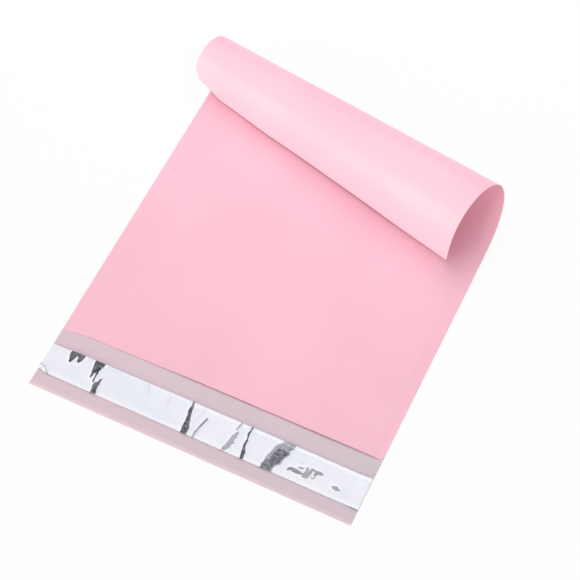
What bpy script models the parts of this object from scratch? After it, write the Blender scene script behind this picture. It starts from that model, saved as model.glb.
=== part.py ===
"""Poly mailer bag: a film envelope with a peel-and-seal flap, its bottom end curled over its front.

The bag is one length of film, folded at the bottom and welded along both sides. The front panel
stops at the mouth and the back panel runs on as the flap, which carries a strip of hot-melt
adhesive under a release liner. X runs across the bag, Y from the flap towards the bottom fold,
and Z up from the surface that the bag lies on.
"""
import math

import bmesh
import bpy
from mathutils import Matrix, Vector

# Film envelope, in metres
BAG_WIDTH = 0.254
BODY_LENGTH = 0.350
FLAP_LENGTH = 0.054
FILM_THICKNESS = 0.00008
POCKET_GAP = 0.0003
SIDE_WELD_WIDTH = 0.004
FOLD_DEPTH = 0.0012

# Closure strips on the flap, measured from its free edge
LINER_FROM_EDGE = 0.0124
LINER_WIDTH = 0.0256
LINER_THICKNESS = 0.00005
ADHESIVE_WIDTH = 0.020
ADHESIVE_THICKNESS = 0.00012
ADHESIVE_END_MARGIN = 0.001
STRIP_GAP = 0.0003

# Curl of the bottom end, a cone whose apex lies on the bottom edge's line, left of the bag
CURL_APEX_DISTANCE = 0.440
CURL_ANGLE = math.radians(13.1)
CURL_EASE = 0.17
EDGE_LIFT = 0.0045
CURL_ROWS = 44
LEAST_TURN = math.radians(190)
MOST_TURN = math.radians(290)

# The frame's origin lies under the bag's middle, this far from the flap's free edge
ORIGIN_FROM_FLAP_EDGE = 0.135

FLAT_ROWS = 6
FILM_LENGTH = FLAP_LENGTH + BODY_LENGTH
APEX = Vector((-CURL_APEX_DISTANCE, FILM_LENGTH, 0))

FILM_PINK = (0.921, 0.527, 0.637)
ADHESIVE_CLEAR = (0.80, 0.78, 0.74)
LINER_WHITE = (0.84, 0.84, 0.92)


def clear_scene():
    """Remove every object, so the scene holds the bag alone."""
    for obj in list(bpy.data.objects):
        bpy.data.objects.remove(obj, do_unlink=True)


def plain_material(name, colour, roughness, coat=0.0):
    """A Principled material of one colour."""
    material = bpy.data.materials.new(name)
    material.use_nodes = True
    shader = material.node_tree.nodes["Principled BSDF"]
    shader.inputs["Base Color"].default_value = (*colour, 1)
    shader.inputs["Roughness"].default_value = roughness
    shader.inputs["Coat Weight"].default_value = coat
    return material


def curl_bend(share):
    """Relative bend of the film at a share of the way round the curl, none at its free edge."""
    return math.sin(math.pi * (share + CURL_EASE) / (1 + CURL_EASE))


def curl_generators(turn):
    """Follow the film round the cone, as (developed angle, direction from the apex, normal).

    The direction is a curve of unit speed on a sphere, so lengths on the film are kept. The film
    leaves the flat along the first generator and has turned by the given angle at the last.
    """
    step = CURL_ANGLE / CURL_ROWS
    bends = [curl_bend((row + 0.5) / CURL_ROWS) for row in range(CURL_ROWS)]
    bend_scale = turn / (sum(bends) * step)
    direction = Vector((math.cos(CURL_ANGLE), -math.sin(CURL_ANGLE), 0))
    normal = Vector((0, 0, 1))
    generators = [(CURL_ANGLE, direction, normal)]
    for row, bend in enumerate(bends):
        spin = normal + direction * (bend * bend_scale)
        turned = Matrix.Rotation(spin.length * step, 3, spin)
        direction = turned @ direction
        normal = turned @ normal
        generators.append((CURL_ANGLE - (row + 1) * step, direction, normal))
    return generators


def closing_turn():
    """The turn that brings the bottom corner to its lift over the front panel, by halving."""
    wanted = EDGE_LIFT / (CURL_APEX_DISTANCE + BAG_WIDTH)
    low, high = LEAST_TURN, MOST_TURN
    for _ in range(40):
        middle = (low + high) / 2
        if curl_generators(middle)[-1][1].z > wanted:
            low = middle
        else:
            high = middle
    return (low + high) / 2


def flat_row(left_y, right_y):
    """A straight line across the flat film: its left end, its right end and its normal."""
    return Vector((0, left_y, 0)), Vector((BAG_WIDTH, right_y, 0)), Vector((0, 0, 1))


def curl_row(generator):
    """A generator of the cone between the bag's left and right edges."""
    angle, direction, normal = generator
    left = CURL_APEX_DISTANCE / math.cos(angle)
    right = (CURL_APEX_DISTANCE + BAG_WIDTH) / math.cos(angle)
    return APEX + direction * left, APEX + direction * right, normal


def row_between(first, second, share):
    """A row part of the way from one row to the next."""
    return tuple(start.lerp(end, share) for start, end in zip(first, second))


def film_rows():
    """Rows from the flap's free edge to the bottom fold, with the mouth's and the fold's places."""
    curl = [curl_row(generator) for generator in curl_generators(closing_turn())]
    mouth = flat_row(FLAP_LENGTH, FLAP_LENGTH)
    flat = [row_between(mouth, curl[0], step / FLAT_ROWS) for step in range(FLAT_ROWS)]
    last_step = (curl[-1][1] - curl[-2][1]).length
    fold = row_between(curl[-1], curl[-2], min(FOLD_DEPTH / last_step, 0.9))
    rows = [flat_row(0, 0)] + flat + curl[:-1] + [fold, curl[-1]]
    return rows, 1, len(rows) - 2


def film_solid(name, rows, columns, levels, filled, material):
    """Close the filled cells of a grid laid along, across and through the film into one solid."""
    mesh_edit = bmesh.new()
    corners = {}

    def corner(row, column, level):
        key = (row, column, level)
        if key not in corners:
            start, end, normal = rows[row]
            place = start.lerp(end, columns[column] / BAG_WIDTH) + normal * levels[level]
            corners[key] = mesh_edit.verts.new(place)
        return corners[key]

    def in_grid(row, column, level):
        inside = 0 <= row < len(rows) - 1 and 0 <= column < len(columns) - 1
        return inside and 0 <= level < len(levels) - 1 and filled(row, column, level)

    # Each side of a cell: the way to its neighbour, and its corners seen from outside
    sides = (
        ((-1, 0, 0), ((0, 0, 0), (0, 1, 0), (0, 1, 1), (0, 0, 1))),
        ((1, 0, 0), ((1, 0, 0), (1, 0, 1), (1, 1, 1), (1, 1, 0))),
        ((0, -1, 0), ((0, 0, 0), (0, 0, 1), (1, 0, 1), (1, 0, 0))),
        ((0, 1, 0), ((0, 1, 0), (1, 1, 0), (1, 1, 1), (0, 1, 1))),
        ((0, 0, -1), ((0, 0, 0), (1, 0, 0), (1, 1, 0), (0, 1, 0))),
        ((0, 0, 1), ((0, 0, 1), (0, 1, 1), (1, 1, 1), (1, 0, 1))),
    )
    for row in range(len(rows) - 1):
        for column in range(len(columns) - 1):
            for level in range(len(levels) - 1):
                if not in_grid(row, column, level):
                    continue
                for way, face in sides:
                    if not in_grid(row + way[0], column + way[1], level + way[2]):
                        mesh_edit.faces.new(
                            [corner(row + a, column + b, level + c) for a, b, c in face])
    mesh = bpy.data.meshes.new(name)
    mesh_edit.to_mesh(mesh)
    mesh_edit.free()
    mesh.materials.append(material)
    mesh.shade_smooth()
    mesh.set_sharp_from_angle(angle=math.radians(30))
    solid = bpy.data.objects.new(name, mesh)
    solid.location = (-BAG_WIDTH / 2, -ORIGIN_FROM_FLAP_EDGE, 0)
    bpy.context.collection.objects.link(solid)
    return solid


def make_film_bag():
    """Back panel with its flap, front panel and the flat pocket between them, as one film."""
    rows, mouth, fold = film_rows()
    columns = [0, SIDE_WELD_WIDTH, BAG_WIDTH - SIDE_WELD_WIDTH, BAG_WIDTH]
    back_top = FILM_THICKNESS
    front_under = back_top + POCKET_GAP
    levels = [0, back_top, front_under, front_under + FILM_THICKNESS]

    def filled(row, column, level):
        welded = column in (0, 2) or row >= fold
        return level == 0 or (row >= mouth and (level == 2 or welded))

    return film_solid("film_bag", rows, columns, levels, filled,
                      plain_material("film", FILM_PINK, 0.38, 0.15))


def make_strip(name, from_edge, width, end_margin, underside, thickness, material):
    """A flat strip across the flap, standing clear of both side edges by its end margin."""
    rows = [flat_row(from_edge, from_edge), flat_row(from_edge + width, from_edge + width)]
    columns = [end_margin, BAG_WIDTH - end_margin]
    levels = [underside, underside + thickness]
    return film_solid(name, rows, columns, levels, lambda *cell: True, material)


def make_closure():
    """Adhesive on the flap's inner face and the release liner that covers it."""
    adhesive_from_edge = LINER_FROM_EDGE + (LINER_WIDTH - ADHESIVE_WIDTH) / 2
    adhesive_underside = FILM_THICKNESS + STRIP_GAP
    liner_underside = adhesive_underside + ADHESIVE_THICKNESS + STRIP_GAP
    make_strip("adhesive_strip", adhesive_from_edge, ADHESIVE_WIDTH, ADHESIVE_END_MARGIN,
               adhesive_underside, ADHESIVE_THICKNESS,
               plain_material("adhesive", ADHESIVE_CLEAR, 0.5))
    make_strip("release_liner", LINER_FROM_EDGE, LINER_WIDTH, 0.0,
               liner_underside, LINER_THICKNESS,
               plain_material("liner", LINER_WHITE, 0.22, 0.3))


def main():
    """Build the whole bag."""
    clear_scene()
    make_film_bag()
    make_closure()


if __name__ == "__main__":
    main()
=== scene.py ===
"""Pink poly mailer: its film, adhesive and release liner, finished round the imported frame."""
import math

import bpy
from bpy.props import FloatProperty, FloatVectorProperty, IntProperty, PointerProperty
from mathutils import Matrix, Vector, noise


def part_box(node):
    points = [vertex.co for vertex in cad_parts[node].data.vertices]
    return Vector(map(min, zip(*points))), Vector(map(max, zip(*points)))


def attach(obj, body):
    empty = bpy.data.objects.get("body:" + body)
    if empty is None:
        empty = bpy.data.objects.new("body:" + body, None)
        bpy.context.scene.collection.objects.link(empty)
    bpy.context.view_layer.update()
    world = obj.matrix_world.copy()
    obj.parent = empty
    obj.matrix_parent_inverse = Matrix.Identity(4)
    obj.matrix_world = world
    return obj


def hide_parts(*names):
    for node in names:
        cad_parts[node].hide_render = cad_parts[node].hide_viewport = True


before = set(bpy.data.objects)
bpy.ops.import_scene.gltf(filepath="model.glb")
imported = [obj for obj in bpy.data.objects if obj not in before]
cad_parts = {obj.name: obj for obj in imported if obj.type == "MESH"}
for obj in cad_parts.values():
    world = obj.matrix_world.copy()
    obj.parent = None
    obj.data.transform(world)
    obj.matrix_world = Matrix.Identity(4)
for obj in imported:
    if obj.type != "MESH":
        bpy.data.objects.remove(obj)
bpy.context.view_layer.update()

bl_info = {
    "name": "Poly Mailer Dresser",
    "version": (1, 0, 0),
    "blender": (4, 5, 0),
    "location": "View3D > Sidebar > Mailer",
    "description": "Models and finishes a film mailing envelope with a curled end and a liner",
    "category": "Add Mesh",
}

MM = 0.001
FILM_LOW, FILM_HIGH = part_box("film_bag")
LINER_LOW, LINER_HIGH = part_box("release_liner")
ADHESIVE_LOW, ADHESIVE_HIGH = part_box("adhesive_strip")
LEFT_EDGE = LINER_LOW[0]
BAG_WIDTH = LINER_HIGH[0] - LINER_LOW[0]
FLAP_EDGE = FILM_LOW[1]

# Creases of the liner, raised a little and darkened by a painted dark reflection: how dark each
# one's painted reflection is, and its outline in millimetres, from the bag's left side and up from
# the flap's free edge
LINER_CREASES = (
    (0.97, ((15.3, 34.8), (16.0, 36.6), (26.5, 37.0), (26.9, 35.2), (25.9, 31.0), (24.9, 30.2),
            (24.2, 29.0), (23.1, 29.1), (22.7, 31.0), (22.5, 33.0), (21.6, 33.5), (20.6, 32.6),
            (20.2, 30.4), (19.0, 27.0), (17.7, 26.9), (16.8, 30.0))),
    (1.00, ((35.0, 37.4), (43.2, 37.4), (42.9, 34.5), (41.9, 31.3), (41.5, 27.0), (41.6, 23.4),
            (42.3, 20.0), (41.4, 19.6), (40.6, 22.5), (40.2, 26.3), (39.9, 28.6), (39.2, 27.0),
            (38.6, 24.0), (38.1, 22.2), (37.4, 22.8), (36.9, 26.5), (36.2, 30.0), (35.4, 33.5))),
    (0.95, ((46.4, 26.4), (45.0, 24.2), (44.5, 22.0), (43.2, 20.6), (42.2, 19.7), (42.5, 17.5),
            (43.1, 14.5), (42.9, 11.6), (46.8, 11.6), (47.6, 13.4), (47.0, 16.0), (46.5, 19.5),
            (46.6, 23.0))),
    (0.16, ((78.3, 37.6), (79.6, 37.6), (80.7, 31.8), (82.0, 27.4), (80.4, 29.4), (79.4, 32.5))),
    (0.10, ((97.2, 36.0), (99.0, 30.0), (98.0, 24.0), (96.6, 30.0))),
    (0.97, ((113.6, 38.2), (115.1, 38.2), (115.8, 34.0), (116.4, 30.0), (117.6, 25.5),
            (118.8, 21.5), (120.1, 18.2), (120.5, 15.5), (120.2, 11.6), (115.8, 11.6),
            (115.3, 17.0), (115.0, 22.0), (114.7, 26.0), (113.7, 28.5), (113.5, 31.0),
            (113.9, 34.0))),
    (0.13, ((124.8, 37.8), (123.4, 37.8), (123.0, 32.0), (121.5, 24.5), (122.7, 26.0))),
    (0.80, ((129.5, 30.4), (128.1, 29.8), (127.2, 26.0), (126.3, 22.5), (125.8, 20.6),
            (127.3, 20.6), (128.2, 24.0), (129.4, 28.5))),
    (0.58, ((125.9, 21.0), (125.2, 18.5), (124.6, 14.5), (124.6, 12.6), (126.3, 12.6),
            (126.8, 16.0), (127.3, 21.0))),
    (0.60, ((151.9, 38.6), (153.5, 38.4), (153.0, 34.5), (152.3, 31.0), (150.7, 30.6),
            (151.4, 34.5))),
    (0.58, ((153.4, 30.6), (154.2, 28.0), (153.3, 26.6), (154.8, 25.6), (153.1, 24.5),
            (153.8, 22.0), (154.8, 20.2), (153.1, 19.4), (152.8, 16.0), (151.4, 14.0),
            (149.6, 12.6), (147.6, 13.3), (149.0, 17.0), (149.8, 20.5), (150.3, 25.0),
            (151.6, 28.4))),
    (0.98, ((160.1, 38.6), (161.8, 38.6), (161.6, 34.0), (161.3, 30.3), (162.3, 28.0),
            (162.4, 24.5), (162.4, 22.2), (163.6, 20.6), (164.7, 17.5), (165.2, 14.5),
            (165.0, 11.6), (162.6, 11.6), (162.1, 16.0), (161.3, 20.0), (160.7, 22.5),
            (161.0, 26.0), (160.8, 28.5), (159.8, 31.0), (160.2, 35.0))),
    (0.62, ((186.2, 38.8), (195.2, 38.6), (194.6, 34.5), (193.0, 32.6), (193.6, 29.5),
            (192.2, 26.0), (190.9, 23.0), (191.2, 20.8), (189.5, 18.6), (187.9, 17.5),
            (187.5, 14.5), (186.8, 11.6), (178.2, 11.6), (178.3, 15.5), (179.2, 18.5),
            (179.0, 21.5), (180.0, 24.5), (180.7, 27.0), (181.3, 30.0), (181.8, 32.5),
            (184.4, 34.8))),
    (0.91, ((184.8, 31.0), (188.0, 31.6), (192.2, 30.9), (192.7, 29.2), (190.4, 25.6),
            (189.8, 22.6), (190.0, 20.8), (187.6, 18.8), (186.4, 16.6), (186.0, 12.6),
            (183.4, 12.6), (183.0, 17.6), (181.6, 20.0), (182.6, 24.0), (183.4, 28.0))),
    (0.74, ((187.5, 38.6), (194.4, 38.4), (193.6, 34.0), (192.0, 31.6), (190.8, 33.6),
            (190.6, 36.6), (188.0, 37.0))),
    (0.85, ((178.6, 12.2), (178.8, 16.0), (180.0, 19.6), (181.6, 20.2), (182.6, 17.8),
            (183.0, 12.2))),
    (0.20, ((1.0, 15.6), (2.4, 14.8), (4.6, 12.4), (3.0, 11.6), (1.2, 13.4))),
    (0.62, ((229.4, 20.4), (231.2, 21.4), (233.4, 21.8), (236.0, 20.9), (237.0, 19.7),
            (235.0, 18.9), (233.6, 18.4), (231.4, 19.2))),
    (0.74, ((196.3, 18.2), (196.9, 20.8), (198.6, 21.8), (201.2, 22.0), (203.5, 21.8),
            (206.3, 21.3), (207.4, 20.0), (206.4, 19.0), (204.0, 18.6), (201.0, 18.7),
            (198.6, 19.2), (197.3, 17.9))),
    (0.62, ((206.6, 19.8), (208.0, 21.2), (208.7, 23.0), (208.0, 25.6), (209.4, 26.8),
            (210.6, 25.4), (210.9, 22.6), (211.3, 26.4), (212.6, 27.6), (213.5, 26.2),
            (213.4, 22.4), (212.7, 19.6), (211.6, 18.0), (209.6, 17.7), (207.8, 18.4))),
    (0.70, ((213.2, 27.1), (216.0, 26.8), (218.0, 27.3), (220.8, 26.8), (221.4, 25.8),
            (219.6, 24.4), (217.4, 24.2), (216.7, 22.3), (215.0, 22.3), (215.4, 24.8),
            (214.0, 25.4))),
    (0.55, ((202.8, 24.5), (205.0, 24.8), (206.8, 25.8), (207.1, 23.8), (205.4, 22.8),
            (203.2, 23.0))),
    (0.55, ((213.6, 20.2), (215.4, 21.1), (216.9, 21.9), (217.2, 20.1), (215.2, 19.3))),
    (0.24, ((203.0, 27.6), (203.8, 28.6), (204.6, 27.7), (203.9, 26.7))),
)
# The crumpled near left corner's fold line in millimetres, half its width and how dark its painted
# reflection is
CORNER_FOLD = ((0.2, 17.4), (2.6, 16.8), (4.9, 15.8), (6.6, 13.8), (8.8, 12.0))
CORNER_FOLD_REACH = 0.42
CORNER_FOLD_TONE = 0.55

# Least and most that the film can turn round the curl
LEAST_TURN = math.radians(190)
MOST_TURN = math.radians(290)

# Gloss of the film, and how far its haze changes its roughness either way
FILM_SPECULAR = 0.62
HAZE_ROUGHNESS = 0.04


class FilmProps(bpy.types.PropertyGroup):
    body_length: FloatProperty(
        name="Body length", description="From the mouth to the bottom fold",
        default=0.350, min=0.05, unit="LENGTH")
    flap_length: FloatProperty(
        name="Flap length", description="How far the back panel runs past the mouth",
        default=0.054, min=0.01, unit="LENGTH")
    thickness: FloatProperty(
        name="Film thickness", description="Thickness of one layer of film",
        default=0.00008, min=0.00001, precision=5, unit="LENGTH")
    pocket_gap: FloatProperty(
        name="Pocket gap", description="Air between the two panels of the empty bag",
        default=0.0003, min=0.0, precision=5, unit="LENGTH")
    weld_width: FloatProperty(
        name="Side weld", description="Width of the welded band along each side",
        default=0.004, min=0.001, unit="LENGTH")
    trapped_air: FloatProperty(
        name="Trapped air", description="How far air still lifts the front panel here and there",
        default=0.0006, min=0.0, precision=5, unit="LENGTH")
    mouth_lift: FloatProperty(
        name="Mouth lift", description="How far the mouth's edge stands off the flap at most",
        default=0.0006, min=0.0, precision=5, unit="LENGTH")
    mouth_slant: FloatProperty(
        name="Mouth slant", description="How far the mouth's left end lies towards the flap's edge",
        default=0.0027, min=0.0, unit="LENGTH")
    # The dark line at the mouth is painted shade, standing in for the shadow in the slit under the
    # front panel's lifted edge
    mouth_shade_width: FloatProperty(
        name="Hem line", description="Width of the dark line that the mouth's cut edge shows",
        default=0.0008, min=0.0001, precision=5, unit="LENGTH")
    corner_radius: FloatProperty(
        name="Mouth corner", description="Radius of the front panel's corners at the mouth",
        default=0.004, min=0.0, unit="LENGTH")
    waviness: FloatProperty(
        name="Waviness", description="Height of the slow waves in the film",
        default=0.0005, min=0.0, precision=5, unit="LENGTH")


class CurlProps(bpy.types.PropertyGroup):
    apex_distance: FloatProperty(
        name="Apex distance", description="From the bag's left edge to the apex of the curl's cone",
        default=0.440, min=0.05, unit="LENGTH")
    angle: FloatProperty(
        name="Curled angle", description="Angle of film at the apex that the curl takes up",
        default=math.radians(13.1), min=0.05, subtype="ANGLE", unit="ROTATION")
    ease: FloatProperty(
        name="Ease", description="How much of its bend the film has where it leaves the flat",
        default=0.17, min=0.0, max=1.0, subtype="FACTOR")
    edge_lift: FloatProperty(
        name="Edge lift", description="Height of the bottom corner over the front panel",
        default=0.0022, min=0.0, precision=5, unit="LENGTH")
    edge_wave: FloatProperty(
        name="Edge wave", description="How far the bottom edge strays from a straight line",
        default=0.0007, min=0.0, precision=5, unit="LENGTH")
    corner_tuck: FloatProperty(
        name="Corner tuck", description="How far the left bottom corner turns in under the curl",
        default=0.0055, min=0.0, unit="LENGTH")
    tuck_reach: FloatProperty(
        name="Tuck reach", description="Distance from the corner at which the tuck begins",
        default=0.030, min=0.001, unit="LENGTH")
    rows: IntProperty(
        name="Curl rows", description="Rows of faces round the curl", default=90, min=20)


class ClosureProps(bpy.types.PropertyGroup):
    crinkle: FloatProperty(
        name="Crinkle", description="Height of the liner's fine crinkles",
        default=0.00012, min=0.0, precision=5, unit="LENGTH")
    crease_height: FloatProperty(
        name="Crease height", description="Height of the liner's creases",
        default=0.0005, min=0.0, precision=5, unit="LENGTH")
    corner_cut: FloatProperty(
        name="Corner cut", description="How far the liner's near left corner is folded back",
        default=0.001375, min=0.0, precision=5, unit="LENGTH")
    corner_reach: FloatProperty(
        name="Corner reach", description="How far along its edge the folded corner reaches",
        default=0.007333, min=0.001, precision=5, unit="LENGTH")
    taper: FloatProperty(
        name="Liner taper", description="How much narrower the liner looks at its left end",
        default=0.0021, min=0.0, unit="LENGTH")
    end_lift: FloatProperty(
        name="End lift", description="How far the liner's right end stands off the adhesive",
        default=0.0008, min=0.0, precision=5, unit="LENGTH")
    edge_droop: FloatProperty(
        name="Edge droop", description="How far the liner's long edges sink past the adhesive",
        default=0.00045, min=0.0, precision=5, unit="LENGTH")
    edge_stray: FloatProperty(
        name="Edge stray", description="How far the liner's long edges stray from straight",
        default=0.0002, min=0.0, precision=5, unit="LENGTH")


class FinishProps(bpy.types.PropertyGroup):
    film_pink: FloatVectorProperty(
        name="Outside pink", description="Colour of the film's outer layer",
        default=(0.965, 0.535, 0.655), min=0, max=1, subtype="COLOR")
    # Painted shade: the colour of the dark line along the mouth, standing in for the shadow in the
    # slit under its lifted edge
    mouth_shade_rose: FloatVectorProperty(
        name="Hem rose", description="Colour of the mouth's cut edge",
        default=(0.420, 0.150, 0.215), min=0, max=1, subtype="COLOR")
    film_grey: FloatVectorProperty(
        name="Inside grey", description="Colour of the film's inner layer",
        default=(0.718, 0.556, 0.628), min=0, max=1, subtype="COLOR")
    liner_white: FloatVectorProperty(
        name="Liner", description="Colour of the release liner",
        default=(0.895, 0.890, 0.985), min=0, max=1, subtype="COLOR")
    # Painted dark reflection: the colour that stands in for the dark surroundings which the liner's
    # crease facets reflect
    crease_dark_reflection: FloatVectorProperty(
        name="Lifted liner", description="Colour of the liner where a crease lifts it",
        default=(0.022, 0.020, 0.038), min=0, max=1, subtype="COLOR")
    adhesive: FloatVectorProperty(
        name="Adhesive", description="Colour of the hot-melt adhesive",
        default=(0.70, 0.66, 0.60), min=0, max=1, subtype="COLOR")


class StageProps(bpy.types.PropertyGroup):
    azimuth: FloatProperty(
        name="Camera azimuth", description="Turn of the camera to the right of the flap's middle",
        default=math.radians(25.63), subtype="ANGLE", unit="ROTATION")
    elevation: FloatProperty(
        name="Camera elevation", description="Height angle of the camera",
        default=math.radians(59.68), subtype="ANGLE", unit="ROTATION")
    distance: FloatProperty(
        name="Camera distance", description="From the camera to the point that it looks at",
        default=1.302, min=0.1, unit="LENGTH")
    lens: FloatProperty(
        name="Lens", description="Focal length", default=109.3, min=10, unit="CAMERA")
    look_at: FloatVectorProperty(
        name="Look at", description="Point on the floor in the middle of the frame",
        default=(0.0085, 0.0159, 0.0), subtype="TRANSLATION", unit="LENGTH")
    sky: FloatProperty(
        name="Surrounding light", description="Strength of the white surroundings",
        default=0.622, min=0.0)
    key: FloatProperty(
        name="Key light", description="Power of the large soft light at the front left",
        default=45.0, min=0.0, unit="POWER")
    warm_colour: FloatVectorProperty(
        name="Warm colour", description="Colour of the key light and of the lights into the curl",
        default=(1.0, 0.94, 0.80), min=0, max=1, subtype="COLOR")
    top: FloatProperty(
        name="Top light", description="Power of the soft light above and behind the bag",
        default=2.1, min=0.0, unit="POWER")
    side: FloatProperty(
        name="Side light", description="Power of the soft light into the curl's wide end",
        default=3.8, min=0.0, unit="POWER")
    end: FloatProperty(
        name="End light", description="Power of the soft light into the curl's narrow end",
        default=3.2, min=0.0, unit="POWER")


def props():
    """The settings of the open scene."""
    return bpy.context.scene.mailer


def smooth_step(low, high, value):
    """From 0 at low to 1 at high, level at both ends."""
    share = min(max((value - low) / (high - low), 0.0), 1.0)
    return share * share * (3 - 2 * share)


def ripple(across, along, across_size, along_size, seed):
    """Smooth noise of about -1 to 1 over the film, with its own size each way."""
    return noise.noise(Vector((across / across_size, along / along_size, seed)))


def edge_distance(x, y, start, end):
    """Distance of a point from a straight edge."""
    way_x, way_y = end[0] - start[0], end[1] - start[1]
    share = ((x - start[0]) * way_x + (y - start[1]) * way_y) / (way_x ** 2 + way_y ** 2)
    share = min(max(share, 0.0), 1.0)
    return math.hypot(x - start[0] - way_x * share, y - start[1] - way_y * share)


def inside_outline(x, y, outline):
    """Distance of a point from a closed outline, positive inside it."""
    nearest, inside = 1e9, False
    for start, end in zip(outline, outline[1:] + outline[:1]):
        nearest = min(nearest, edge_distance(x, y, start, end))
        if (start[1] > y) != (end[1] > y):
            if x < start[0] + (end[0] - start[0]) * (y - start[1]) / (end[1] - start[1]):
                inside = not inside
    return nearest if inside else -nearest


class FilmShape:
    """Carries a point of the unrolled film to its place on the flat or round the curl."""

    TABLE_STEPS = 360
    HALVINGS = 24

    def __init__(self):
        film, curl = props().film, props().curl
        self.length = film.flap_length + film.body_length
        self.apex_distance = curl.apex_distance
        self.apex = Vector((-curl.apex_distance, self.length, 0))
        self.angle = curl.angle
        shares = [(step + 0.5) / self.TABLE_STEPS for step in range(self.TABLE_STEPS)]
        self.bends = [math.sin(math.pi * (share + curl.ease) / (1 + curl.ease)) for share in shares]
        low, high = LEAST_TURN, MOST_TURN
        wanted = curl.edge_lift / (curl.apex_distance + BAG_WIDTH)
        for _ in range(self.HALVINGS):
            turn = (low + high) / 2
            self.table = self.generators(turn)
            if self.table[-1][0].z > wanted:
                low = turn
            else:
                high = turn

    def generators(self, turn):
        """Directions from the apex and normals, evenly round the curl."""
        step = self.angle / self.TABLE_STEPS
        scale = turn / (sum(self.bends) * step)
        direction = Vector((math.cos(self.angle), -math.sin(self.angle), 0))
        normal = Vector((0, 0, 1))
        table = [(direction, normal)]
        for bend in self.bends:
            spin = normal + direction * (bend * scale)
            turned = Matrix.Rotation(spin.length * step, 3, spin)
            direction = turned @ direction
            normal = turned @ normal
            table.append((direction, normal))
        return table

    def start_of_curl(self, across):
        """Where the film leaves the flat, measured along it."""
        return self.length - (across + self.apex_distance) * math.tan(self.angle)

    def along_at(self, across, share):
        """The place along the film at a share of the curl, from its start to the bottom fold."""
        return self.length - (across + self.apex_distance) * math.tan(self.angle * (1 - share))

    def place(self, across, along, height):
        """The point in the frame of a place on the film, raised by height on its front side."""
        reach_x = across + self.apex_distance
        reach_y = self.length - along
        angle = math.atan2(reach_y, reach_x)
        if angle >= self.angle:
            point = Vector((across, along, height))
        else:
            position = (self.angle - angle) / self.angle * self.TABLE_STEPS
            index = min(int(position), self.TABLE_STEPS - 1)
            first, second = self.table[index], self.table[index + 1]
            share = position - index
            direction = first[0].lerp(second[0], share).normalized()
            normal = first[1].lerp(second[1], share).normalized()
            point = self.apex + direction * math.hypot(reach_x, reach_y) + normal * height
        return point + Vector((LEFT_EDGE, FLAP_EDGE, 0))


def drop_selection():
    """Leave edit mode and deselect everything."""
    if bpy.context.object and bpy.context.object.mode != "OBJECT":
        bpy.ops.object.mode_set(mode="OBJECT")
    bpy.ops.object.select_all(action="DESELECT")


def add_grid(name, columns, rows):
    """A new grid of faces at the origin, as the active object."""
    drop_selection()
    bpy.ops.mesh.primitive_grid_add(x_subdivisions=columns, y_subdivisions=rows, size=1.0)
    piece = bpy.context.object
    piece.name = name
    piece.data.name = name
    return piece


def lay_grid(piece, columns, rows, spot):
    """Move each vertex to spot(column, row), which also gives its place on the unrolled film."""
    mesh = piece.data
    unrolled = {}
    for index, vertex in enumerate(mesh.vertices):
        column, row = index % (columns + 1), index // (columns + 1)
        vertex.co, unrolled[index] = spot(column, row)
    layer = mesh.uv_layers.active or mesh.uv_layers.new()
    layer.name = "unrolled"
    for loop in mesh.loops:
        layer.data[loop.index].uv = unrolled[loop.vertex_index]


def add_values(piece, name, values):
    """Store one number for each vertex under a name that materials can read."""
    attribute = piece.data.attributes.new(name, "FLOAT", "POINT")
    attribute.data.foreach_set("value", values)


def give_wall(piece, thickness, inner_slot=0):
    """Turn a sheet of faces into film of its real thickness, its inner face in its own material."""
    wall = piece.modifiers.new("wall", "SOLIDIFY")
    wall.thickness = thickness
    wall.offset = 0
    wall.material_offset = inner_slot
    bpy.ops.object.modifier_apply(modifier=wall.name)
    bpy.ops.object.shade_smooth()


def new_material(name):
    """A material with a Principled shader and an output, its nodes, its links and that shader."""
    material = bpy.data.materials.new(name)
    material.use_nodes = True
    nodes = material.node_tree.nodes
    return material, nodes, material.node_tree.links, nodes["Principled BSDF"]


def math_node(nodes, links, operation, first, second, clamp=False):
    """A Math node on two inputs, each a socket or a number."""
    node = nodes.new("ShaderNodeMath")
    node.operation = operation
    node.use_clamp = clamp
    for socket, value in zip(node.inputs, (first, second)):
        if isinstance(value, (int, float)):
            socket.default_value = value
        else:
            links.new(value, socket)
    return node.outputs[0]


def mix_colour(nodes, links, share, first, second):
    """Mix two colours, each a socket or a value, by a share that is a socket."""
    node = nodes.new("ShaderNodeMix")
    node.data_type = "RGBA"
    links.new(share, node.inputs["Factor"])
    for name, value in (("A", first), ("B", second)):
        socket = [s for s in node.inputs if s.name == name and s.type == "RGBA"][0]
        if hasattr(value, "is_linked"):
            links.new(value, socket)
        else:
            socket.default_value = (*value, 1)
    return [s for s in node.outputs if s.type == "RGBA"][0]


def unrolled_place(nodes):
    """The place on the unrolled film, in metres."""
    place = nodes.new("ShaderNodeUVMap")
    place.uv_map = "unrolled"
    return place.outputs["UV"]


def stored_value(nodes, name):
    """The number that add_values stored on the piece under a name."""
    attribute = nodes.new("ShaderNodeAttribute")
    attribute.attribute_name = name
    return attribute.outputs["Fac"]


def stretched_noise(nodes, links, place, across, along, detail=3.0):
    """Noise with so many spots to the metre across and along the film."""
    mapping = nodes.new("ShaderNodeMapping")
    mapping.inputs["Scale"].default_value = (across, along, 1)
    links.new(place, mapping.inputs["Vector"])
    texture = nodes.new("ShaderNodeTexNoise")
    texture.inputs["Scale"].default_value = 1.0
    texture.inputs["Detail"].default_value = detail
    links.new(mapping.outputs["Vector"], texture.inputs["Vector"])
    return texture.outputs["Fac"]


def spread(nodes, links, value, low, high, to_low=0.0, to_high=1.0):
    """Spread the part of a value between low and high over a wider range."""
    node = nodes.new("ShaderNodeMapRange")
    names = ("From Min", "From Max", "To Min", "To Max")
    for name, setting in zip(names, (low, high, to_low, to_high)):
        node.inputs[name].default_value = setting
    links.new(value, node.inputs["Value"])
    return node.outputs["Result"]


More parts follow.
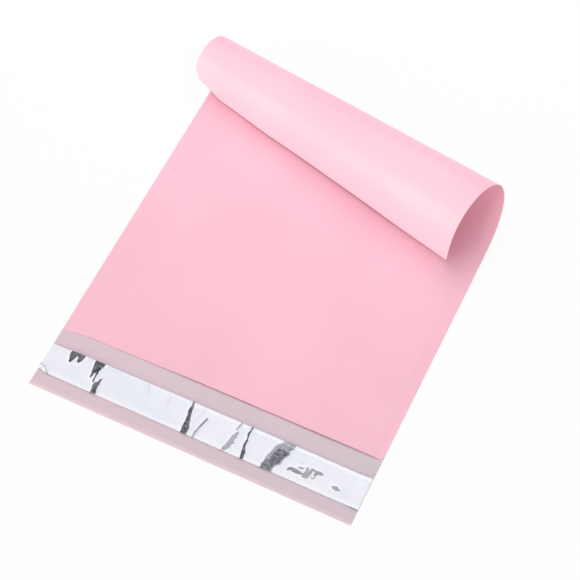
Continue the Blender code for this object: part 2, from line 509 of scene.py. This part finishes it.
def add_bump(nodes, links, shader, height, strength, distance):
    """Let a height that varies over the surface tilt the shader's normal."""
    bump = nodes.new("ShaderNodeBump")
    bump.inputs["Strength"].default_value = strength
    bump.inputs["Distance"].default_value = distance
    links.new(height, bump.inputs["Height"])
    links.new(bump.outputs["Normal"], shader.inputs["Normal"])


def seen_directly(nodes, links):
    """A mask that is 1 for the camera's own rays and for those it sends through gloss or glass."""
    path = nodes.new("ShaderNodeLightPath")
    seen = math_node(nodes, links, "MAXIMUM", path.outputs["Is Camera Ray"],
                     path.outputs["Is Glossy Ray"])
    return math_node(nodes, links, "MAXIMUM", seen, path.outputs["Is Transmission Ray"])


def film_grain_group():
    """Shader group: the drawn grain, haze and soft dimples of blown film, on unrolled metres."""
    if "film grain" in bpy.data.node_groups:
        return bpy.data.node_groups["film grain"]
    group = bpy.data.node_groups.new("film grain", "ShaderNodeTree")
    for name in ("Grain", "Dimples"):
        socket = group.interface.new_socket(name, in_out="INPUT", socket_type="NodeSocketFloat")
        socket.default_value = 1.0
    group.interface.new_socket("Haze", in_out="OUTPUT", socket_type="NodeSocketFloat")
    group.interface.new_socket("Height", in_out="OUTPUT", socket_type="NodeSocketFloat")
    nodes, links = group.nodes, group.links
    given = nodes.new("NodeGroupInput")
    result = nodes.new("NodeGroupOutput")
    place = unrolled_place(nodes)
    grain = stretched_noise(nodes, links, place, 900, 60, detail=2.0)
    dimples = stretched_noise(nodes, links, place, 70, 55)
    haze = stretched_noise(nodes, links, place, 11, 7, detail=2.0)
    fine = math_node(nodes, links, "MULTIPLY", grain, given.outputs["Grain"])
    soft = math_node(nodes, links, "MULTIPLY", dimples, given.outputs["Dimples"])
    links.new(math_node(nodes, links, "ADD", fine, soft), result.inputs["Height"])
    links.new(spread(nodes, links, haze, 0.36, 0.64), result.inputs["Haze"])
    return group


def film_material(name, colour, deeper, roughness):
    """Satin film: a soft haze in its colour, drawn grain and shallow dimples."""
    material, nodes, links, shader = new_material(name)
    grain = nodes.new("ShaderNodeGroup")
    grain.node_tree = film_grain_group()
    grain.inputs["Grain"].default_value = 0.10
    grain.inputs["Dimples"].default_value = 1.0
    haze = grain.outputs["Haze"]
    links.new(mix_colour(nodes, links, haze, colour, deeper), shader.inputs["Base Color"])
    low, high = roughness - HAZE_ROUGHNESS, roughness + HAZE_ROUGHNESS
    links.new(spread(nodes, links, haze, 0, 1, low, high), shader.inputs["Roughness"])
    add_bump(nodes, links, shader, grain.outputs["Height"], strength=0.35, distance=0.35 * MM)
    shader.inputs["Specular IOR Level"].default_value = FILM_SPECULAR
    return material


def inner_film_material():
    """The film's inner face, with painted shade that darkens it a little to the right, and pinker
    at the flap's free edge.
    """
    finish = props().finish
    grey = Vector(finish.film_grey)
    material = film_material("film_inside", tuple(grey), tuple(grey * 0.96), roughness=0.42)
    nodes, links = material.node_tree.nodes, material.node_tree.links
    shader = nodes["Principled BSDF"]
    plain = shader.inputs["Base Color"].links[0].from_socket
    parts = nodes.new("ShaderNodeSeparateXYZ")
    links.new(unrolled_place(nodes), parts.inputs["Vector"])
    # Painted shade: the face darkens a little towards the right
    right_shade = spread(nodes, links, parts.outputs["X"], 0.06, 0.27)
    cool = (grey.x * 0.88, grey.y * 0.945, grey.z * 0.94)
    right_shaded = mix_colour(nodes, links, right_shade, plain, cool)
    blush = spread(nodes, links, parts.outputs["Y"], 0.006, 0.0, to_high=0.14)
    pink = grey.lerp(Vector(finish.film_pink), 0.30)
    links.new(mix_colour(nodes, links, blush, right_shaded, tuple(pink)), shader.inputs["Base Color"])
    return material


def liner_material():
    """Bright release film, with a painted dark reflection on its creases."""
    finish = props().finish
    material, nodes, links, shader = new_material("release_film")
    place = unrolled_place(nodes)
    torn = stretched_noise(nodes, links, place, 700, 420, detail=4.0)
    ragged = spread(nodes, links, torn, 0, 1, -0.8, 0.8)
    # Painted dark reflection on the creases, with ragged edges and patchy inside
    reach = math_node(nodes, links, "ADD", stored_value(nodes, "crease_edge"), ragged)
    crease_reflection_mask = spread(nodes, links, reach, -0.14, 0.16)
    mottle = stretched_noise(nodes, links, place, 360, 440)
    patchy = spread(nodes, links, mottle, 0.36, 0.60, 0.81, 1.01)
    amount = math_node(nodes, links, "MULTIPLY", crease_reflection_mask, stored_value(nodes, "crease_reflection_tone"))
    amount = math_node(nodes, links, "MULTIPLY", amount, patchy, clamp=True)
    cloud = stretched_noise(nodes, links, place, 24, 34, detail=2.0)
    cloud = spread(nodes, links, cloud, 0.36, 0.64)
    white = Vector(finish.liner_white)
    cool = (white.x * 0.93, white.y * 0.98, white.z * 0.99)
    plain = mix_colour(nodes, links, cloud, cool, tuple(white))
    links.new(mix_colour(nodes, links, amount, plain, tuple(finish.crease_dark_reflection)),
              shader.inputs["Base Color"])
    links.new(spread(nodes, links, cloud, 0, 1, 0.14, 0.30), shader.inputs["Roughness"])
    crackle = stretched_noise(nodes, links, place, 190, 260, detail=4.0)
    add_bump(nodes, links, shader, crackle, strength=0.4, distance=0.3 * MM)
    return material


def adhesive_material():
    """Clear tacky adhesive with streaks from its nozzle."""
    colour = Vector(props().finish.adhesive)
    material, nodes, links, shader = new_material("hot_melt")
    streaks = stretched_noise(nodes, links, unrolled_place(nodes), 30, 1200)
    links.new(mix_colour(nodes, links, streaks, tuple(colour), tuple(colour * 0.86)),
              shader.inputs["Base Color"])
    shader.inputs["Roughness"].default_value = 0.3
    add_bump(nodes, links, shader, streaks, strength=0.5, distance=0.2 * MM)
    return material


class MAILER_OT_film_bag(bpy.types.Operator):
    """Fold one length of film into the bag and curl its bottom end over its front"""
    bl_idname = "mailer.film_bag"
    bl_label = "Film Bag"

    FLAP_ROWS = 14
    FLAT_ROWS = 64
    FOLD_ROWS = 6
    WELD_COLUMNS = 4
    PANEL_COLUMNS = 80
    EDGE_COLUMN = 0.5 * MM
    # Painted highlight along the film's side edges
    EDGE_HIGHLIGHT = (0.95, 0.80, 0.85)
    # Height of the front panel over the back one, in thicknesses, where they are pressed together
    PRESSED = 1.05

    def columns(self):
        """Places across the bag, closer together in the side welds."""
        weld = props().film.weld_width
        step = weld / self.WELD_COLUMNS
        sides = [0, self.EDGE_COLUMN] + [step * count for count in range(1, self.WELD_COLUMNS)]
        step = (BAG_WIDTH - 2 * weld) / self.PANEL_COLUMNS
        middle = [weld + step * count for count in range(self.PANEL_COLUMNS + 1)]
        return sides + middle + [BAG_WIDTH - side for side in reversed(sides)]

    def mouth(self, across):
        """Where the front panel ends, measured along the film from the flap's free edge."""
        film = props().film
        droop = film.mouth_slant * math.exp(-across / 0.130)
        droop += 0.0012 * math.exp(-((across - 0.005) / 0.006) ** 2)
        wave = 0.0002 * ripple(across, 0, 0.035, 1, 7.3)
        inset = max(film.corner_radius - min(across, BAG_WIDTH - across), 0)
        corner = film.corner_radius - math.sqrt(max(film.corner_radius ** 2 - inset ** 2, 0))
        return film.flap_length - droop + wave + corner

    def wave(self, across, along):
        """Height of the slow waves that both panels share, held down where the liner is stuck."""
        waviness = props().film.waviness * (0.2 + 0.8 * smooth_step(0.040, 0.075, along))
        slow = 0.5 + 0.5 * ripple(across, along, 0.075, 0.110, 1.7)
        quick = 0.5 + 0.5 * ripple(across, along, 0.028, 0.040, 4.1)
        return waviness * (0.75 * slow + 0.25 * quick)

    def gap(self, across, along):
        """Air between the panels, none in the side welds and at the bottom fold."""
        film = props().film
        side = min(across, BAG_WIDTH - across)
        open_share = smooth_step(film.weld_width * 0.8, film.weld_width * 2.2, side)
        open_share *= 0.45 + 0.55 * smooth_step(0.02, 0.14, across + 2 * (along - film.flap_length))
        near_fold = smooth_step(0, 0.004, self.shape.length - along)
        air = film.trapped_air * max(0, ripple(across, along, 0.060, 0.080, 9.2))
        from_mouth = along - self.mouth(across)
        lift = film.mouth_lift * math.exp(-max(from_mouth, 0) / 0.008)
        lift *= smooth_step(0.01, 0.14, across)
        lift *= 0.35 + 0.65 * max(0, ripple(across, 0, 0.045, 1, 12.5) + 0.4)
        return (film.pocket_gap + air + lift) * open_share * near_fold

    def height(self, across, along, front):
        """Height of a panel's middle over the surface that the film follows."""
        thickness = props().film.thickness
        edge = smooth_step(0.75, 1.0, self.curl_share(across, along))
        stray = props().curl.edge_wave * edge * ripple(across, 0, 0.050, 1, 20.1)
        from_corner = math.hypot(across, self.shape.length - along)
        tuck = props().curl.corner_tuck * smooth_step(props().curl.tuck_reach, 0, from_corner)
        base = thickness / 2 + self.wave(across, along) + stray + tuck * edge
        if not front:
            return base
        return base + thickness * self.PRESSED + self.gap(across, along)

    def curl_share(self, across, along):
        """How far round the curl a place on the film is, 0 on the flat and 1 at the fold."""
        angle = math.atan2(self.shape.length - along, across + self.shape.apex_distance)
        return min(max(1 - angle / self.shape.angle, 0), 1)

    def stations(self):
        """One entry for each row: the panel, the stretch of film and the share along it."""
        curl_rows = props().curl.rows
        back = [("back", "flap", row / self.FLAP_ROWS) for row in range(self.FLAP_ROWS)]
        back += [("back", "flat", row / self.FLAT_ROWS) for row in range(self.FLAT_ROWS)]
        back += [("back", "curl", row / curl_rows) for row in range(curl_rows + 1)]
        fold = [("fold", "fold", (row + 1) / (self.FOLD_ROWS + 1)) for row in range(self.FOLD_ROWS)]
        front = [("front", "curl", 1 - row / curl_rows) for row in range(curl_rows + 1)]
        flat_rows = range(self.FLAT_ROWS - 1, -1, -1)
        front += [("front", "flat", row / self.FLAT_ROWS) for row in flat_rows]
        return back + fold + front + [("front", "mouth_shade_line", 0)]

    def mouth_shade_tone(self, across):
        """How dark the painted shade line along the mouth is: faint at the left, stronger to the
        right.
        """
        faint = 0.24 * smooth_step(0.016, 0.024, across)
        strong = 0.56 * smooth_step(0.075, 0.125, across)
        uneven = 1 + 0.80 * ripple(across, 0, 0.011, 1, 51.0)
        uneven += 0.40 * ripple(across, 0, 0.004, 1, 52.0)
        ends = smooth_step(0, 0.004, BAG_WIDTH - across)
        return (faint + strong) * uneven * ends

    def along(self, panel, stretch, share, across):
        """Place along the film of one row at one column."""
        film = props().film
        if stretch == "flap":
            return film.flap_length * share
        if stretch == "flat":
            start = self.mouth(across) + film.mouth_shade_width if panel == "front" else film.flap_length
            end = self.shape.start_of_curl(across)
            return start + (end - start) * share
        if stretch == "mouth_shade_line":
            return self.mouth(across)
        return self.shape.along_at(across, share)

    def paint_edge_shade_and_highlight(self, material):
        """Give the film a painted shade line along the mouth, standing in for the shadow under its
        lifted edge, and a painted highlight along its side edges.
        """
        finish = props().finish
        nodes, links = material.node_tree.nodes, material.node_tree.links
        shader = nodes["Principled BSDF"]
        plain = shader.inputs["Base Color"].links[0].from_socket
        # Painted highlight along the side edges
        pale = math_node(nodes, links, "MULTIPLY", stored_value(nodes, "rim"), 0.40, clamp=True)
        edged = mix_colour(nodes, links, pale, plain, self.EDGE_HIGHLIGHT)
        # Painted shade line along the mouth, standing in for the shadow under its lifted edge
        dark = math_node(nodes, links, "MULTIPLY", stored_value(nodes, "mouth_shade_line"), 1.5, clamp=True)
        links.new(mix_colour(nodes, links, dark, edged, tuple(finish.mouth_shade_rose)),
                  shader.inputs["Base Color"])

    def execute(self, context):
        film, finish = props().film, props().finish
        self.shape = FilmShape()
        columns, stations = self.columns(), self.stations()
        piece = add_grid("mailer_film", len(columns) - 1, len(stations) - 1)

        def spot(column, row):
            across = columns[column]
            panel, stretch, share = stations[row]
            if panel == "fold":
                low = self.height(across, self.shape.length, False)
                high = self.height(across, self.shape.length, True)
                radius = (high - low) / 2
                along = self.shape.length - radius * (1 - math.sin(math.pi * share))
                height = low + radius * (1 - math.cos(math.pi * share))
                return self.shape.place(across, along, height), (across, self.shape.length)
            along = self.along(panel, stretch, share, across)
            height = self.height(across, along, panel == "front")
            unrolled = along if panel == "back" else 2 * self.shape.length - along
            return self.shape.place(across, along, height), (across, unrolled)

        lay_grid(piece, len(columns) - 1, len(stations) - 1, spot)
        plain_rows = [0.0] * (len(columns) * (len(stations) - 1))
        add_values(piece, "mouth_shade_line", plain_rows + [self.mouth_shade_tone(across) for across in columns])
        add_values(piece, "rim", ([1.0] + [0.0] * (len(columns) - 2) + [1.0]) * len(stations))
        bpy.ops.object.mode_set(mode="EDIT")
        bpy.ops.mesh.select_all(action="SELECT")
        bpy.ops.mesh.flip_normals()
        bpy.ops.object.mode_set(mode="OBJECT")
        pink = Vector(finish.film_pink)
        outside = film_material("film_outside", tuple(pink), tuple(pink * 0.955), roughness=0.55)
        self.paint_edge_shade_and_highlight(outside)
        piece.data.materials.append(outside)
        piece.data.materials.append(inner_film_material())
        give_wall(piece, film.thickness, inner_slot=1)
        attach(piece, "root")
        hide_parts("film_bag")
        return {"FINISHED"}


class MAILER_OT_adhesive(bpy.types.Operator):
    """Lay the band of hot-melt adhesive on the flap"""
    bl_idname = "mailer.adhesive"
    bl_label = "Adhesive Strip"

    COLUMNS = 120
    ROWS = 24

    def execute(self, context):
        low, high = Vector(ADHESIVE_LOW), Vector(ADHESIVE_HIGH)
        piece = add_grid("hot_melt_strip", self.COLUMNS, self.ROWS)
        bead = (high.z - low.z) * 0.5

        def spot(column, row):
            across, share = column / self.COLUMNS, row / self.ROWS
            x = low.x + (high.x - low.x) * across
            stray = 0.0003 * ripple(x, share, 0.02, 1, 3.3)
            y = low.y + (high.y - low.y) * share + stray
            crown = bead * (1 - (2 * share - 1) ** 6)
            crown *= 0.85 + 0.15 * ripple(x, y, 0.01, 0.002, 5.5)
            return Vector((x, y, low.z + bead * 0.5 + crown)), (x - LEFT_EDGE, y - FLAP_EDGE)

        lay_grid(piece, self.COLUMNS, self.ROWS, spot)
        piece.data.materials.append(adhesive_material())
        give_wall(piece, bead)
        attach(piece, "root")
        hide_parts("adhesive_strip")
        return {"FINISHED"}


class MAILER_OT_release_liner(bpy.types.Operator):
    """Lay the creased release liner over the adhesive"""
    bl_idname = "mailer.release_liner"
    bl_label = "Release Liner"

    COLUMNS = 600
    ROWS = 62
    # How far outside its outline, in millimetres, a crease still has a say
    CREASE_REACH = 3.0

    def crease_at(self, across, up):
        """How far inside a crease's outline a point lies in millimetres, and how dark the crease's
        painted reflection is.
        """
        reach = self.CREASE_REACH
        best, tone = -reach, 0.0
        for dark, outline, low, high in self.outlines:
            if not (low.x - reach < across < high.x + reach
                    and low.y - reach < up < high.y + reach):
                continue
            inside = inside_outline(across, up, outline)
            if inside > best or (inside > 0 and best > 0):
                best, tone = max(best, inside), dark
        return best, tone

    def corner_line(self, across, up):
        """Distance of a point from the crumpled corner's fold line, in millimetres."""
        return min(edge_distance(across, up, start, end)
                   for start, end in zip(CORNER_FOLD, CORNER_FOLD[1:]))

    def execute(self, context):
        closure = props().closure
        low, high = Vector(LINER_LOW), Vector(LINER_HIGH)
        piece = add_grid("release_film", self.COLUMNS, self.ROWS)
        thickness = high.z - low.z
        self.outlines = [
            (dark, outline, *(Vector(pick(axis) for axis in zip(*outline)) for pick in (min, max)))
            for dark, outline in LINER_CREASES]
        edges, tones = [], []

        def spot(column, row):
            across, share = column / self.COLUMNS * BAG_WIDTH, row / self.ROWS
            top = high.y - FLAP_EDGE - closure.taper * math.exp(-across / 0.065)
            top += closure.edge_stray * ripple(across, 0, 0.018, 1, 41.0)
            bottom = low.y - FLAP_EDGE + closure.edge_stray * ripple(across, 0, 0.018, 1, 43.0)
            bottom += closure.corner_cut * max(1 - across / closure.corner_reach, 0)
            along = bottom + (top - bottom) * share
            edge, tone = self.crease_at(across / MM, along / MM)
            fold = CORNER_FOLD_REACH - self.corner_line(across / MM, along / MM)
            if fold > edge:
                edge, tone = fold, CORNER_FOLD_TONE
            edges.append(edge)
            tones.append(tone)
            ridge = closure.crease_height * tone * smooth_step(-2.5, 0.8, edge)
            crumple = closure.crinkle * (1 + ripple(across, along, 0.009, 0.006, 44.0))
            crumple += closure.crinkle * 0.6 * (1 + ripple(across, along, 0.003, 0.0025, 46.0))
            curl = closure.end_lift * smooth_step(0.012, 0, BAG_WIDTH - across)
            droop = closure.edge_droop * smooth_step(0.0032, 0, min(along - bottom, top - along))
            height = low.z + thickness / 2 + ridge + crumple + curl - droop
            return Vector((low.x + across, FLAP_EDGE + along, height)), (across, along)

        lay_grid(piece, self.COLUMNS, self.ROWS, spot)
        add_values(piece, "crease_edge", edges)
        add_values(piece, "crease_reflection_tone", tones)
        piece.data.materials.append(liner_material())
        give_wall(piece, thickness)
        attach(piece, "root")
        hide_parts("release_liner")
        return {"FINISHED"}


class MAILER_OT_stage(bpy.types.Operator):
    """Set the floor, the soft light and the camera"""
    bl_idname = "mailer.stage"
    bl_label = "Stage"

    FLOOR_SIZE = 12.0
    FLOOR_DEPTH = 0.2 * MM
    FLOOR_GLOW = 0.91
    # Distances from the bag's middle between which the floor fades into plain white
    FADE_START = 0.25
    FADE_END = 1.5
    SENSOR_WIDTH = 36.0

    def floor(self):
        """A white floor that keeps the bag's soft shadow and fades into the white round it."""
        drop_selection()
        bpy.ops.mesh.primitive_plane_add(size=self.FLOOR_SIZE, location=(0, 0, -self.FLOOR_DEPTH))
        floor = bpy.context.object
        floor.name = "floor"
        material, nodes, links, shader = new_material("floor_white")
        shader.inputs["Base Color"].default_value = (0.93, 0.93, 0.93, 1)
        shader.inputs["Roughness"].default_value = 0.9
        shader.inputs["Specular IOR Level"].default_value = 0.0
        glow = nodes.new("ShaderNodeEmission")
        place = nodes.new("ShaderNodeTexCoord")
        away = nodes.new("ShaderNodeVectorMath")
        away.operation = "LENGTH"
        links.new(place.outputs["Object"], away.inputs[0])
        whiter = spread(nodes, links, away.outputs["Value"], self.FADE_START, self.FADE_END,
                        self.FLOOR_GLOW, 1.0)
        share = math_node(nodes, links, "MULTIPLY", seen_directly(nodes, links), whiter)
        blend = nodes.new("ShaderNodeMixShader")
        links.new(share, blend.inputs["Fac"])
        links.new(shader.outputs["BSDF"], blend.inputs[1])
        links.new(glow.outputs["Emission"], blend.inputs[2])
        links.new(blend.outputs["Shader"], nodes["Material Output"].inputs["Surface"])
        floor.data.materials.append(material)

    def surroundings(self):
        """White all round: as bright as paper where it is seen, gentler where it lights."""
        world = bpy.data.worlds.new("studio")
        bpy.context.scene.world = world
        world.use_nodes = True
        nodes, links = world.node_tree.nodes, world.node_tree.links
        nodes.clear()
        light = nodes.new("ShaderNodeBackground")
        light.inputs["Strength"].default_value = props().stage.sky
        seen = nodes.new("ShaderNodeBackground")
        for background in (light, seen):
            background.inputs["Color"].default_value = (1, 1, 1, 1)
        blend = nodes.new("ShaderNodeMixShader")
        links.new(seen_directly(nodes, links), blend.inputs["Fac"])
        links.new(light.outputs["Background"], blend.inputs[1])
        links.new(seen.outputs["Background"], blend.inputs[2])
        output = nodes.new("ShaderNodeOutputWorld")
        links.new(blend.outputs["Shader"], output.inputs["Surface"])

    def soft_light(self, name, place, aim, size, power, colour):
        """A large rectangular lamp, turned to shine at a point."""
        drop_selection()
        bpy.ops.object.light_add(type="AREA", location=place)
        lamp = bpy.context.object
        lamp.name = name
        lamp.data.shape = "RECTANGLE"
        lamp.data.size, lamp.data.size_y = size
        lamp.data.energy = power
        lamp.data.color = colour
        lamp.rotation_euler = (Vector(aim) - Vector(place)).to_track_quat("-Z", "Y").to_euler()

    def camera(self):
        """The camera, looking at the bag from the front right and above."""
        stage = props().stage
        drop_selection()
        level = math.cos(stage.elevation)
        back = Vector((math.sin(stage.azimuth) * level, -math.cos(stage.azimuth) * level,
                       math.sin(stage.elevation)))
        place = Vector(stage.look_at) + back * stage.distance
        bpy.ops.object.camera_add(location=place)
        camera = bpy.context.object
        camera.rotation_euler = (-back).to_track_quat("-Z", "Y").to_euler()
        camera.data.lens = stage.lens
        camera.data.sensor_width = self.SENSOR_WIDTH
        bpy.context.scene.camera = camera

    def execute(self, context):
        self.floor()
        self.surroundings()
        stage = props().stage
        white, warm = (1, 1, 1), stage.warm_colour
        self.soft_light("key", place=(-1.43, -2.12, 0.37), aim=(0, 0.12, 0.03), size=(2.0, 0.7),
                        power=stage.key, colour=warm)
        self.soft_light("top", place=(-0.06, 0.52, 0.60), aim=(0, 0.08, 0), size=(0.45, 0.45),
                        power=stage.top, colour=white)
        self.soft_light("side", place=(1.06, -0.75, 0.25), aim=(0.1, 0.12, 0.03), size=(0.6, 0.4),
                        power=stage.side, colour=warm)
        self.soft_light("end", place=(-1.20, 0.42, 0.12), aim=(-0.08, 0.16, 0.03), size=(0.4, 0.2),
                        power=stage.end, colour=warm)
        self.camera()
        context.scene.view_settings.view_transform = "Standard"
        return {"FINISHED"}


class MailerProps(bpy.types.PropertyGroup):
    film: PointerProperty(type=FilmProps)
    curl: PointerProperty(type=CurlProps)
    closure: PointerProperty(type=ClosureProps)
    finish: PointerProperty(type=FinishProps)
    stage: PointerProperty(type=StageProps)


class MAILER_PT_panel(bpy.types.Panel):
    """Settings and steps of the mailer"""
    bl_label = "Poly Mailer"
    bl_idname = "MAILER_PT_panel"
    bl_space_type = "VIEW_3D"
    bl_region_type = "UI"
    bl_category = "Mailer"

    def draw(self, context):
        settings = context.scene.mailer
        for group in (settings.film, settings.curl, settings.closure, settings.finish,
                      settings.stage):
            box = self.layout.box()
            for name in group.bl_rna.properties.keys():
                if name not in ("rna_type", "name"):
                    box.prop(group, name)
        for operator in OPERATORS:
            self.layout.operator(operator.bl_idname)


OPERATORS = (MAILER_OT_film_bag, MAILER_OT_adhesive, MAILER_OT_release_liner, MAILER_OT_stage)
CLASSES = (FilmProps, CurlProps, ClosureProps, FinishProps, StageProps, MailerProps,
           *OPERATORS, MAILER_PT_panel)


def register():
    for cls in CLASSES:
        bpy.utils.register_class(cls)
    bpy.types.Scene.mailer = PointerProperty(type=MailerProps)


def unregister():
    del bpy.types.Scene.mailer
    for cls in reversed(CLASSES):
        bpy.utils.unregister_class(cls)


def main():
    """Dress the frame."""
    register()
    bpy.ops.mailer.film_bag()
    bpy.ops.mailer.adhesive()
    bpy.ops.mailer.release_liner()
    bpy.ops.mailer.stage()


if __name__ == "__main__":
    main()
